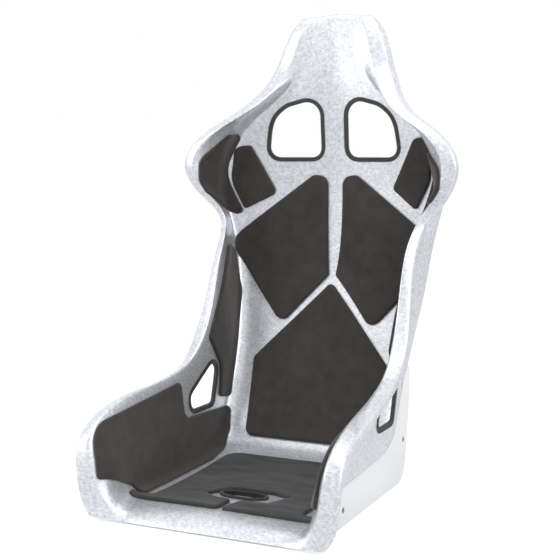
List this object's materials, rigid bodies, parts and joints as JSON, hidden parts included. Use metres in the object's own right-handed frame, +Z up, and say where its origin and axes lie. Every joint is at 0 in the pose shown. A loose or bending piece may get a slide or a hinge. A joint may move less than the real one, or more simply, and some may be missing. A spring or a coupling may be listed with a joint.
{
  "type": "racing bucket seat",
  "caption": "Fixed one-piece racing bucket seat with head wings, belt openings, glued foam pads and side mounting threads.",
  "frame": {"origin": "on the floor, under the middle of the seat's length, on its plane of symmetry", "axes": "+X to the right as seen from the front, +Y backwards, +Z up"},
  "size_m": [0.6, 0.6282, 0.9433],
  "materials": {
    "gel_coat": "glossy silver glitter gel coat over glass fibre",
    "runner_laminate": "smooth pale gel coat over glass fibre",
    "core_filler": "resin bonded filler under pale gel coat",
    "zinc_steel": "zinc plated",
    "edge_trim": "ribbed soft edge trim",
    "pad_velour": "dark matte velour over foam"
  },
  "bodies": {
    "root": {"shell": "gel_coat", "side_runner_left": "runner_laminate", "side_runner_right": "runner_laminate", "runner_core_left": "core_filler", "runner_core_right": "core_filler", "mount_bush_front_left": "zinc_steel", "mount_bush_front_right": "zinc_steel", "mount_bush_rear_left": "zinc_steel", "mount_bush_rear_right": "zinc_steel", "shoulder_belt_trim_left": "edge_trim", "shoulder_belt_trim_right": "edge_trim", "lap_belt_trim_left": "edge_trim", "lap_belt_trim_right": "edge_trim", "crotch_belt_trim": "edge_trim", "upper_back_pad_left": "pad_velour", "upper_back_pad_right": "pad_velour", "wing_pad_outer_left": "pad_velour", "wing_pad_outer_right": "pad_velour", "wing_pad_inner_left": "pad_velour", "wing_pad_inner_right": "pad_velour", "side_bolster_pad_left": "pad_velour", "side_bolster_pad_right": "pad_velour", "thigh_pad_left": "pad_velour", "thigh_pad_right": "pad_velour", "lower_back_pad": "pad_velour", "base_pad": "pad_velour"}
  },
  "joints": []
}
